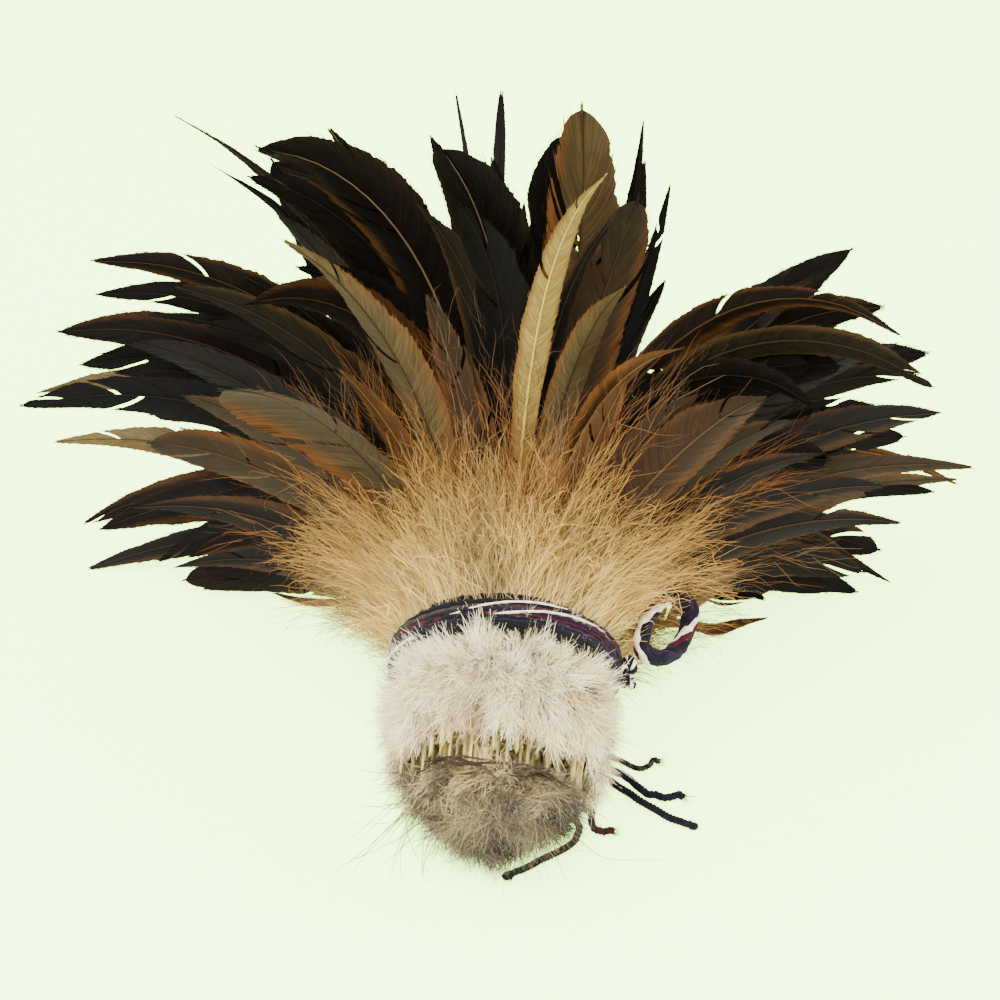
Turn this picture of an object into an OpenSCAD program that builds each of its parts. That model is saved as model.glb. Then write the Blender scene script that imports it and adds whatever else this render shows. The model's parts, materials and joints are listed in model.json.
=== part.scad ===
// Tied bundle of strung rooster feathers.
// A strip of feathers, sewn side by side through their quills, is rolled up and tied with a
// hank of five yarns. The roll lies on a table and the free feathers fan out beyond the tie.
//
// Row frame: the table is z = 0, +Y runs the way the feathers point, +X is to their right, and
// the origin is on the table in the middle of the bundle's footprint. Most modules draw in the
// roll's own frame, where z is the roll's axis, the tie is at z = 0 and the cut quills are below it.
// A clock angle is measured round that axis: 0 is up, 90 is towards +X.

/* [Roll] */
// Radius to the middle of the outermost turn of quills
roll_radius = 24; // [22:0.5:27]
// Distance from the tie back to the cut ends of the outer turn
stub_length = 36; // [28:1:44]
// Tilt of the roll's axis above the table, in degrees
tilt = 20; // [14:1:26]
// Distance between one turn of the rolled strip and the next
pitch = 3.7; // [3.2:0.1:4.2]
// How far each turn is pushed out past the turn outside it
telescope = 3; // [0:0.5:4]

/* [Quills and thread] */
// Outside radius of a quill
quill_r = 0.9; // [0.7:0.05:1.1]
// Radius of the hollow in a cut quill
quill_bore_r = 0.5; // [0.3:0.05:0.6]
// Distance from one quill to the next along the strip
quill_spacing = 2.7; // [2.4:0.1:3.4]
// Radius of the sewing thread
thread_r = 0.3; // [0.2:0.05:0.4]

/* [Feathers] */
// Free length of a full-size feather, from the tie to its tip
free_length = 128; // [100:1:140]
// Width of a full-size feather at its widest
feather_w = 13; // [8:0.5:15]
// Half thickness of a feather at its root and at its tip
feather_ht = [0.6, 0.2]; // [0.2:0.05:0.8]

/* [Tie] */
// Radius of one yarn of the hank
yarn_r = 0.95; // [0.7:0.05:1.0]
// Radius of the doubled cord that forms the loop
loop_cord_r = 2.3; // [1.8:0.1:2.6]
// Radius of a loose yarn tail
tail_r = 1.1; // [0.8:0.05:1.2]

/* [Hidden] */
$fn = 32;

// Colours of the materials
QUILL = [0.86, 0.80, 0.66];
THREAD = [0.90, 0.88, 0.82];
DARK = [0.09, 0.07, 0.06];
OLIVE = [0.50, 0.44, 0.30];
GINGER = [0.72, 0.45, 0.18];
NAVY = [0.07, 0.08, 0.17];
WHITE = [0.90, 0.88, 0.86];
MAROON = [0.32, 0.07, 0.12];
HEATHER = [0.30, 0.25, 0.17];
PINK = [0.84, 0.62, 0.78];
BARB = [0.22, 0.15, 0.12];

// Turns of the strip, drawn as half circles whose radius shrinks by half a pitch each time
turns = 6;
tie_half_w = 5.2;
quill_top = tie_half_w + 0.8;
feather_gap = 2;
blade_start = quill_top + feather_gap;
// The roll rests on the lowest cut quill, so that sets the height of the tie
rest_gap = 0.1;
// Middle of the bundle's footprint, from the point on the table under the centre of the tie
footprint_middle = [-8.2, 39.2, 0];
tie_height = stub_length * sin(tilt) + (roll_radius + quill_r) * cos(tilt) + rest_gap;
thread_rows = [0.78, 0.62];
first_ring_r = roll_radius + quill_r + yarn_r + 0.15;
second_ring_r = first_ring_r + 1.75 * yarn_r;
stations = 8;

// ---------- frames ----------

// From the roll's frame to the row frame
module place() {
    translate([0, 0, tie_height] - footprint_middle) rotate([-(90 - tilt), 0, 0]) children();
}

function clock_dir(c) = [sin(c), -cos(c), 0];
function unit(v) = v / norm(v);

// The row frame's up, and a point's height above the table, in the roll's frame
up = [0, -cos(tilt), sin(tilt)];
function height(p) = tie_height + p * up;

// ---------- quills and thread ----------

function half_turn_r(h) = roll_radius - h * pitch / 2;
function half_turn_x(h) = h % 2 == 0 ? 0 : -pitch / 2;
// A small repeatable unevenness between -1 and 1
function uneven(i) = sin(i * 137.5 + 40 * sin(i * 61));

module quill(length) {
    color(QUILL) difference() {
        cylinder(h = length, r = quill_r);
        translate([0, 0, -1]) cylinder(h = 7, r = quill_bore_r);
    }
}

// One full turn of the strip: two half circles of quills
module quill_turn(turn) {
    for (h = [2 * turn - 2, 2 * turn - 1]) {
        count = floor(PI * half_turn_r(h) / quill_spacing);
        for (j = [0:count - 1]) {
            a = 180 * (h + (j + 0.5) / count);
            out = stub_length + telescope * (turn - 1) - 0.8 * (1 + uneven(j + 31 * h));
            place() translate([half_turn_x(h), 0, 0]) rotate(a)
                translate([half_turn_r(h), 0, -out]) quill(out + quill_top);
        }
    }
}

// Sewing thread that runs between the turns, at a share of the stub's length behind the tie
module stringing_thread(share) {
    for (h = [0:2 * turns - 2]) {
        color(THREAD) place() translate([half_turn_x(h), 0, -share * stub_length]) rotate(180 * h)
            rotate_extrude(angle = 180) translate([half_turn_r(h) - pitch / 2, 0]) circle(thread_r);
    }
}

// ---------- feathers ----------

// Each feather is [clock, root radius, fan at root, fan at tip, sweep, length, width, roll].
// Fan is the angle away from the roll's axis, sweep turns the clock angle along the feather,
// length and width are shares of a full-size feather, and roll turns the blade on its shaft.
LEFT_DARK = [
    [-53, 16, 9, 106, -24, 1.12, 0.85, -30],
    [-64, 17, 16, 107, -20, 1.06, 1.00, -45],
    [-56, 12, 10, 92, -14, 0.95, 1.00, -25],
    [-73, 17, 8, 110, -16, 1.04, 1.00, -40],
    [-84, 17, 14, 84, -6, 0.95, 0.80, -35],
    [-96, 13, 20, 82, -1, 0.80, 0.70, -65],
];
LEFT_OLIVE = [
    [-84, 19, 18, 100, -24, 1.13, 0.85, -25],
    [-98, 20, 25, 96, 0, 1.04, 0.85, -40],
    [-64, 20, 24, 92, -4, 0.84, 0.90, -30],
];
LEFT_GINGER = [
    [-66, 23.5, 36, 104, 0, 0.66, 0.85, -25],
    [-82, 23.5, 38, 106, 0, 0.64, 0.90, -30],
    [-98, 23.5, 38, 106, 0, 0.58, 0.80, -35],
];
UPPER_LEFT_DARK = [
    [-36, 19, 15, 82, -26, 1.16, 0.50, -5],
    [-32, 15, 3, 64, -14, 1.04, 0.90, 15],
    [-16, 20, 9, 116, -30, 1.17, 1.25, -5],
    [-24, 17, 4, 106, -28, 1.08, 1.00, -30],
    [-40, 15.5, 17, 46, 6, 0.84, 1.30, -35],
    [-42, 18, 16, 64, 0, 0.97, 1.00, -35],
];
UPPER_LEFT_OLIVE = [
    [-21, 23.5, 35, 94, -20, 0.85, 0.90, 5],
    [-37, 23.5, 41, 121, 2, 0.73, 1.30, 5],
    [-36, 21.5, 16, 74, -10, 0.86, 0.90, 10],
];
UPPER_LEFT_GINGER = [
    [-28, 23.5, 38, 92, 0, 0.55, 0.70, -5],
    [-46, 23.5, 36, 96, 0, 0.60, 0.75, -15],
    [-54, 23.5, 38, 98, 0, 0.66, 0.75, -20],
];
TOP_DARK = [
    [-10, 16, 3, 58, -26, 0.96, 0.80, -25],
    [-17, 14, 8, 39, -3, 1.05, 0.35, 0],
    [-1, 22, 20, 90, -24, 0.96, 1.30, 10],
    [-1, 17, 7, 62, -15, 0.89, 0.80, 0],
    [4, 14, 11, 60, 6, 0.95, 1.10, 10],
    [26, 15, 16, 62, -24, 1.00, 0.55, 0],
];
TOP_OLIVE = [
    [15, 17.5, 15, 69, -21, 1.00, 1.30, 10],
    [18, 15, 9, 46, -2, 0.93, 0.50, 0],
    [3, 23.5, 27, 102, 22, 0.99, 0.80, -5],
    [19, 20, 13, 74, -3, 0.84, 1.10, 0],
    [12, 23.5, 18, 98, 14, 0.72, 0.70, -5],
    [6, 17, 20, 88, 22, 0.85, 0.50, 0],
];
TOP_GINGER = [
    [17, 23.5, 27, 102, 32, 0.66, 0.60, -25],
    [-12, 23.5, 32, 84, -2, 0.64, 0.60, 0],
    [-7, 22.5, 29, 74, -8, 0.51, 0.60, 25],
    [22, 23.5, 35, 84, -4, 0.50, 0.60, -15],
];
UPPER_RIGHT_DARK = [
    [39, 14, 4, 50, 0, 0.73, 0.70, 0],
    [33, 21, 2, 136, 46, 1.12, 0.60, 30],
    [49, 19.5, 6, 110, 8, 0.98, 1.00, 40],
    [53, 14.5, 16, 78, 0, 0.97, 1.10, 45],
];
UPPER_RIGHT_OLIVE = [
    [38, 23.5, 44, 114, -16, 0.73, 1.10, 20],
    [44, 20, 24, 76, 8, 0.84, 0.70, 15],
    [56, 20.5, 26, 90, 6, 0.86, 0.80, 20],
];
UPPER_RIGHT_GINGER = [
    [31, 23.5, 33, 98, 2, 0.56, 0.60, 5],
    [46, 23.5, 38, 100, 0, 0.62, 0.70, 15],
    [55, 23.5, 38, 100, 0, 0.60, 0.75, 20],
];
RIGHT_DARK = [
    [66, 17, 13, 96, 8, 0.96, 1.10, 30],
    [76, 15, 14, 84, 8, 0.98, 0.90, 35],
    [88, 17, 14, 78, 14, 0.90, 1.10, 45],
    [104, 13.5, 22, 84, 8, 0.96, 0.80, 65],
];
RIGHT_OLIVE = [
    [72, 20, 26, 92, 6, 0.86, 0.90, 30],
    [101, 18, 30, 82, -1, 0.96, 0.70, 55],
    [84, 20, 28, 96, 4, 0.90, 0.80, 35],
];
RIGHT_GINGER = [
    [96, 17.5, 8, 104, 22, 1.08, 0.50, 25],
    [68, 23.5, 38, 102, 0, 0.66, 0.80, 20],
    [77, 23.5, 38, 104, 0, 0.66, 0.85, 30],
];
CORE_DARK = [
    for (c = [20:60:350]) [c, 8, 3, 14, 0, 0.94, 0.75, 0],
];
CORE_GINGER = [
    for (c = [50:60:350]) [c, 10, 4, 18, 0, 0.70, 0.60, 0],
];
GROUND_LEFT_DARK = [
    [-107, 17, 21, 112, 1, 0.97, 1.10, -50],
    [-107, 10, 20, 116, 3, 1.08, 0.80, -50],
    [-122, 17, 37, 95, 10, 0.80, 0.90, -60],
    [-138, 17, 26, 84, 6, 0.94, 0.80, -30],
    [-156, 17, 24, 80, 10, 0.90, 0.80, -10],
];
GROUND_LEFT_GINGER = [
    [-117, 22, 30, 107, 4, 1.02, 0.60, -70],
    [-107, 23.5, 39, 68, 0, 0.63, 0.70, -30],
    [-134, 23, 36, 92, 0, 0.66, 0.80, -30],
];
GROUND_RIGHT_DARK = [
    [114, 17, 15, 110, 28, 1.03, 0.60, 70],
    [120, 10.5, 28, 87, 4, 0.99, 1.00, 50],
    [122, 17, 29, 92, 4, 0.86, 1.00, 60],
    [138, 17, 26, 84, -6, 0.94, 0.80, 30],
    [156, 17, 24, 80, -10, 0.90, 0.80, 10],
];
GROUND_RIGHT_GINGER = [
    [113, 20, 35, 58, 10, 0.84, 0.90, 50],
    [116, 22.5, 55, 32, -14, 0.58, 0.90, 25],
    [136, 23, 36, 92, 0, 0.66, 0.80, 30],
];

function fan_at(f, s) = f[2] + (f[3] - f[2]) * s;
function clock_at(f, s) = f[0] + f[4] * s * s;
function shaft_dir(f, s) = clock_dir(clock_at(f, s)) * sin(fan_at(f, s)) + [0, 0, cos(fan_at(f, s))];

// Keeps a point at least gap above the table
function above_table(p, gap) = p + up * max(0, gap - height(p));

// The shaft's middle line, from the tie to the tip
function shaft_line(f) =
    let (step = free_length * f[5] / stations)
    [
        for (i = 0, p = f[1] * clock_dir(f[0]) + [0, 0, blade_start];
            i <= stations;
            p = above_table(p + step * shaft_dir(f, (i + 0.5) / stations), half_thick((i + 1) / stations)),
            i = i + 1) p
    ];

// Half width of a blade: a bare shaft at the root, widest past the middle, a point at the tip
function half_width(f, s) = f[6] * feather_w / 2 * max(0.13, pow(sin(180 * pow(s, 1.3)), 0.8));
function half_thick(s) = feather_ht[0] + (feather_ht[1] - feather_ht[0]) * s;

// One corner of a blade's section, kept above the table with the blade's thickness intact
function corner(p, across, face) =
    above_table(p + across + face, face * up > 0 ? 2 * norm(face) : 0);

// The four corners of a blade's section at station i. A blade that reaches the table lies flat on it.
function section(f, line, i) =
    let (
        s = i / stations,
        d = shaft_dir(f, s),
        tangent = [cos(clock_at(f, s)), sin(clock_at(f, s)), 0],
        out = cross(tangent, d),
        lying = height(line[i]) < half_thick(s) + 0.01,
        side = lying ? unit(cross(up, d)) : tangent * cos(f[7]) + out * sin(f[7]),
        w = side * half_width(f, s),
        t = (lying ? -up : cross(side, d)) * half_thick(s)
    )
    [corner(line[i], -w, -t), corner(line[i], w, -t), corner(line[i], w, t), corner(line[i], -w, t)];

module feather(f) {
    line = shaft_line(f);
    last = 4 * stations;
    points = [for (i = [0:stations]) each section(f, line, i)];
    sides = [
        for (i = [0:stations - 1], k = [0:3])
            let (a = 4 * i + k, b = 4 * i + (k + 1) % 4)
            each [[a, b, b + 4], [a, b + 4, a + 4]]
    ];
    polyhedron(points, concat([[3, 2, 1, 0]], sides, [[last, last + 1, last + 2, last + 3]]));
}

module feathers(table, tint) {
    color(tint) place() for (f = table) feather(f);
}

// ---------- the yarn tie ----------

// Rings of one yarn, each [layer, place across the band]
module yarn(rings, tint) {
    color(tint) place() for (ring = rings)
        translate([0, 0, ring[1] * 2.05 * yarn_r])
            rotate_extrude() translate([ring[0] == 0 ? first_ring_r : second_ring_r, 0]) circle(yarn_r);
}

cord_sides = 8;

// Rounds the corners of an open path by cutting each one twice
function eased(p, times = 1) = times == 0 ? p : eased([
    p[0],
    for (i = [0:len(p) - 2]) each [p[i] * 0.75 + p[i + 1] * 0.25, p[i] * 0.25 + p[i + 1] * 0.75],
    p[len(p) - 1]
], times - 1);

// A cord swept along a path: open with flat ends, or closed into a ring
module cord(path, r, closed = false) {
    n = len(path);
    last = closed ? n - 1 : n - 2;
    points = [
        for (i = [0:n - 1])
            let (
                before = closed ? path[(i + n - 1) % n] : path[max(0, i - 1)],
                after = closed ? path[(i + 1) % n] : path[min(n - 1, i + 1)],
                d = unit(after - before),
                side = unit(cross(d, [0, 0, 1])),
                over = cross(side, d)
            )
            for (k = [0:cord_sides - 1])
                path[i] + r * (side * cos(360 * k / cord_sides) + over * sin(360 * k / cord_sides))
    ];
    skin = [
        for (i = [0:last], k = [0:cord_sides - 1])
            let (a = i * cord_sides, b = (i + 1) % n * cord_sides, k2 = (k + 1) % cord_sides)
            each [[a + k, a + k2, b + k2], [a + k, b + k2, b + k]]
    ];
    ends = closed ? [] : [
        for (k = [1:cord_sides - 2])
            let (e = (n - 1) * cord_sides)
            each [[0, k + 1, k], [e, e + k, e + k + 1]]
    ];
    polyhedron(points, concat(skin, ends));
}

// The knot is a trefoil of the tie's own cord, lying flat against the band on the right
knot_clock = 92;
knot_cord_r = 0.8;
knot_a = 1.25;
knot_b = 2.6;
knot_half = knot_a + knot_cord_r;
knot_mid = second_ring_r + yarn_r + knot_half + 0.2;
knot_steps = 42;
TREFOIL = [
    for (i = [0:knot_steps - 1])
        let (t = 360 * i / knot_steps, ring = knot_b + knot_a * cos(3 * t))
        [ring * cos(2 * t), ring * sin(2 * t), knot_a * sin(3 * t)]
];

// Draws in a frame whose origin is the knot and whose x points out from the roll's axis
module at_knot() {
    place() rotate([0, 0, knot_clock - 90]) translate([knot_mid, 0, 0]) children();
}

module knot() {
    color(NAVY) at_knot() rotate([0, 90, 0]) cord(TREFOIL, knot_cord_r, closed = true);
}

// The loop stands out from the knot, in a plane that leans back with the feathers
loop_side = 3.5;
loop_run = 12;
loop_start = 6.9;
loop_lean = 58;
loop_roll = -50;

// Points round a long narrow ring, with its near end's middle at the origin
function ring_points(side, run) = [
    for (a = [90:30:270]) [side + side * cos(a), side * sin(a), 0],
    for (a = [-90:30:90]) [side + run + side * cos(a), side * sin(a), 0]
];

module loop() {
    color(MAROON) at_knot() rotate([0, -loop_lean, 0]) rotate([loop_roll, 0, 0])
        translate([loop_start, 0, 0]) cord(ring_points(loop_side, loop_run), loop_cord_r, closed = true);
}

// The loose tails leave the stitching low on the roll's right side and end on the table.
// Each point is [x, y, height of the tail's underside], from the point under the tie.
TAIL_BLACK_LONG = [
    [22, -12, 13], [25.5, -7, 5], [28, -4, 0], [31, -6.5, 0],
    [38, -12, 0], [44, -16, 0], [49.5, -18, 0],
];
TAIL_NAVY = [
    [25, -11, 12], [28.5, -4.5, 4.5], [31.5, -1.5, 0], [34.5, -5.5, 0],
    [38, -7.8, 0], [42, -8, 0], [46, -7.2, 0],
];
TAIL_OLIVE = [
    [24.5, -6.5, 13], [28.5, -1, 6], [32, 2, 1], [34.5, 0.5, 1],
    [37, 2, 1], [38, 5, 2], [40, 4, 1],
];
TAIL_BLACK_FRONT = [
    [19, -22, 7], [21, -24, 2], [19, -27, 0],
    [14, -31, 0], [8.5, -35.5, 0], [3.5, -39.5, 0],
];
TAIL_MAROON = [[22, -20, 7], [24, -22.5, 2], [26, -22.5, 0], [29, -20.5, 0]];

module tail(points, r, tint) {
    color(tint) translate(-footprint_middle)
        cord(eased([for (p = points) [p[0], p[1], p[2] + r + 0.02]]), r);
}

// ---------- dried barb strips ----------

// Dark strips curled over the cut ends, each [radius, start angle, sweep, place along the axis]
STRIPS = [
    [20.4, 255, 62, -37.0],
    [22.7, 232, 44, -37.4],
    [23.4, 288, 40, -38.2],
    [16.4, 248, 70, -40.3],
    [17.6, 205, 36, -40.6],
];

module barb_strips() {
    color(BARB) place() for (k = STRIPS)
        translate([half_turn_x(1), 0, k[3] - 1.4]) rotate(k[1])
            rotate_extrude(angle = k[2]) translate([k[0], 0]) square([0.35, 1.4]);
}

// ---------- assembly ----------

quill_turn(1);  // quills_turn_1
quill_turn(2);  // quills_turn_2
quill_turn(3);  // quills_turn_3
quill_turn(4);  // quills_turn_4
quill_turn(5);  // quills_turn_5
quill_turn(6);  // quills_turn_6
stringing_thread(thread_rows[0]);  // stringing_thread_rear
stringing_thread(thread_rows[1]);  // stringing_thread_front
yarn([[0, -2], [0, 1], [1, -0.5]], NAVY);  // yarn_navy
yarn([[0, 2], [1, 1.5]], WHITE);  // yarn_white
yarn([[0, 0], [1, 0.5]], MAROON);  // yarn_maroon
yarn([[0, -1]], HEATHER);  // yarn_olive
yarn([[1, -1.5]], PINK);  // yarn_pink
knot();  // tie_knot
loop();  // tie_loop
tail(TAIL_BLACK_LONG, tail_r, NAVY);  // tail_black_long
tail(TAIL_NAVY, tail_r, NAVY);  // tail_navy
tail(TAIL_OLIVE, 0.7 * tail_r, HEATHER);  // tail_olive
tail(TAIL_BLACK_FRONT, tail_r, NAVY);  // tail_black_front
tail(TAIL_MAROON, tail_r, MAROON);  // tail_maroon
feathers(LEFT_DARK, DARK);  // left_dark_feathers
feathers(LEFT_OLIVE, OLIVE);  // left_olive_feathers
feathers(LEFT_GINGER, GINGER);  // left_ginger_feathers
feathers(UPPER_LEFT_DARK, DARK);  // upper_left_dark_feathers
feathers(UPPER_LEFT_OLIVE, OLIVE);  // upper_left_olive_feathers
feathers(UPPER_LEFT_GINGER, GINGER);  // upper_left_ginger_feathers
feathers(TOP_DARK, DARK);  // top_dark_feathers
feathers(TOP_OLIVE, OLIVE);  // top_olive_feathers
feathers(TOP_GINGER, GINGER);  // top_ginger_feathers
feathers(UPPER_RIGHT_DARK, DARK);  // upper_right_dark_feathers
feathers(UPPER_RIGHT_OLIVE, OLIVE);  // upper_right_olive_feathers
feathers(UPPER_RIGHT_GINGER, GINGER);  // upper_right_ginger_feathers
feathers(RIGHT_DARK, DARK);  // right_dark_feathers
feathers(RIGHT_OLIVE, OLIVE);  // right_olive_feathers
feathers(RIGHT_GINGER, GINGER);  // right_ginger_feathers
feathers(CORE_DARK, DARK);  // core_dark_feathers
feathers(CORE_GINGER, GINGER);  // core_ginger_feathers
feathers(GROUND_LEFT_DARK, DARK);  // ground_left_dark_feathers
feathers(GROUND_LEFT_GINGER, GINGER);  // ground_left_ginger_feathers
feathers(GROUND_RIGHT_DARK, DARK);  // ground_right_dark_feathers
feathers(GROUND_RIGHT_GINGER, GINGER);  // ground_right_ginger_feathers
barb_strips();  // curled_barb_strips
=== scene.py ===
import json
import math

import bpy
import numpy as np
from mathutils import Euler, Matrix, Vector


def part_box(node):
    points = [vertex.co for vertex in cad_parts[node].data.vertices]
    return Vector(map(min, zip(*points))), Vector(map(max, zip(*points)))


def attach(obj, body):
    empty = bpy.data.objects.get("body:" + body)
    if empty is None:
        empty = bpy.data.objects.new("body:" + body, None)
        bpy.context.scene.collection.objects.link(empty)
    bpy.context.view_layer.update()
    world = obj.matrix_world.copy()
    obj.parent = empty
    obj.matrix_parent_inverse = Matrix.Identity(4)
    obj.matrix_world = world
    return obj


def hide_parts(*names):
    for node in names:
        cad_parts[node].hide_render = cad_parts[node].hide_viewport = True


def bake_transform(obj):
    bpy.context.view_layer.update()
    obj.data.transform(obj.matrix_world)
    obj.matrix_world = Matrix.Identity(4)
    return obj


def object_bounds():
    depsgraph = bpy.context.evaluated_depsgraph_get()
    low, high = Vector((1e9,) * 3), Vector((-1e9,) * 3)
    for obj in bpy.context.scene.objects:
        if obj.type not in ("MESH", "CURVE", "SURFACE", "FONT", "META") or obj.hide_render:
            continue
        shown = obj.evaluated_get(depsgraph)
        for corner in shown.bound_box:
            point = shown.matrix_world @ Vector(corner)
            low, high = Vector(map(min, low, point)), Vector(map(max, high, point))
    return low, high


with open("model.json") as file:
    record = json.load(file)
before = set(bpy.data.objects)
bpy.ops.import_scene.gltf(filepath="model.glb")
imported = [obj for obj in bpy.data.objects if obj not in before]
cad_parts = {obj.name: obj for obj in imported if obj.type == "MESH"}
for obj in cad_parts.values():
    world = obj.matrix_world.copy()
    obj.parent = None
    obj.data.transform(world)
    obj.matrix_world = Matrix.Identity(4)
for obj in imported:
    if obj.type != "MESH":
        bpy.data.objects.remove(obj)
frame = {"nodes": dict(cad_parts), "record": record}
cad_box = [list(v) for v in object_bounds()]
NODES = frame["nodes"]
BODY = {n: b for b, ns in frame["record"]["behaviour"]["bodies"].items() for n in ns}

# Everything below is worked out in millimetres and written to the meshes in metres.
PER_METRE = 1000  # millimetres in a metre
FLOOR_GAP = 0.05  # nothing is drawn lower than this over the table
UP = np.array([0, 0, 1.0])  # along the roll, in the roll's own frame
CAD_LOW, CAD_HIGH = np.array(cad_box) * PER_METRE


# ---------- reading the CAD meshes ----------

def corners_and_triangles(node):
    me = NODES[node].data
    v = np.zeros(len(me.vertices) * 3)
    me.vertices.foreach_get("co", v)
    v = v.reshape(-1, 3) * PER_METRE
    me.calc_loop_triangles()
    t = np.zeros(len(me.loop_triangles) * 3, np.int64)
    me.loop_triangles.foreach_get("vertices", t)
    rounded = np.round(v * 1e4).astype(np.int64)
    _, first, same = np.unique(rounded, axis=0, return_index=True, return_inverse=True)
    return v[first], same.ravel()[t].reshape(-1, 3)


def solids(node):
    """The corners of each separate solid of a CAD node, with its triangles."""
    v, t = corners_and_triangles(node)
    label = np.arange(len(v))
    while True:
        low = label[t].min(1)
        new = label.copy()
        for k in range(3):
            np.minimum.at(new, t[:, k], low)
        new = new[new]
        if (new == label).all():
            break
        label = new
    out = []
    for k in np.unique(label):
        keep = np.flatnonzero(label == k)
        back = np.full(len(v), -1)
        back[keep] = np.arange(len(keep))
        out.append((v[keep], back[t[label[t[:, 0]] == k]]))
    return out


def unit(a):
    return a / np.maximum(np.linalg.norm(a, axis=-1, keepdims=True), 1e-9)


def box_middle(node):
    return np.array(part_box(node)).sum(0) * (PER_METRE / 2)


def along_axis(z):
    """Offsets of z millimetres along the roll, one row for each value of z."""
    return np.stack([0 * z, 0 * z, z], -1)


# The roll's own frame: its middle at the tie, its axis along the quills
MIDDLE = box_middle("yarn_maroon")
quill = solids("quills_turn_1")[0][0]
AXIS = np.linalg.svd(quill - quill.mean(0))[2][0]
AXIS = AXIS * np.sign(AXIS[1])
ACROSS = np.array([1.0, 0, 0])
DOWN = unit(np.cross(AXIS, ACROSS))


def to_row(p):
    p = np.asarray(p, float)
    return MIDDLE + p[..., :1] * ACROSS + p[..., 1:2] * DOWN + p[..., 2:3] * AXIS


def to_roll(p):
    d = np.asarray(p, float) - MIDDLE
    return np.stack([d @ ACROSS, d @ DOWN, d @ AXIS], -1)


def clock(deg):
    a = np.radians(deg)
    return np.stack([np.sin(a), -np.cos(a), np.zeros_like(a)], -1)


# ---------- meshes made of ribbons and tubes ----------

def srgb(*c):
    c = np.asarray(c, float) / 255
    return np.where(c <= 0.04045, c / 12.92, ((c + 0.055) / 1.055) ** 2.4)


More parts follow.
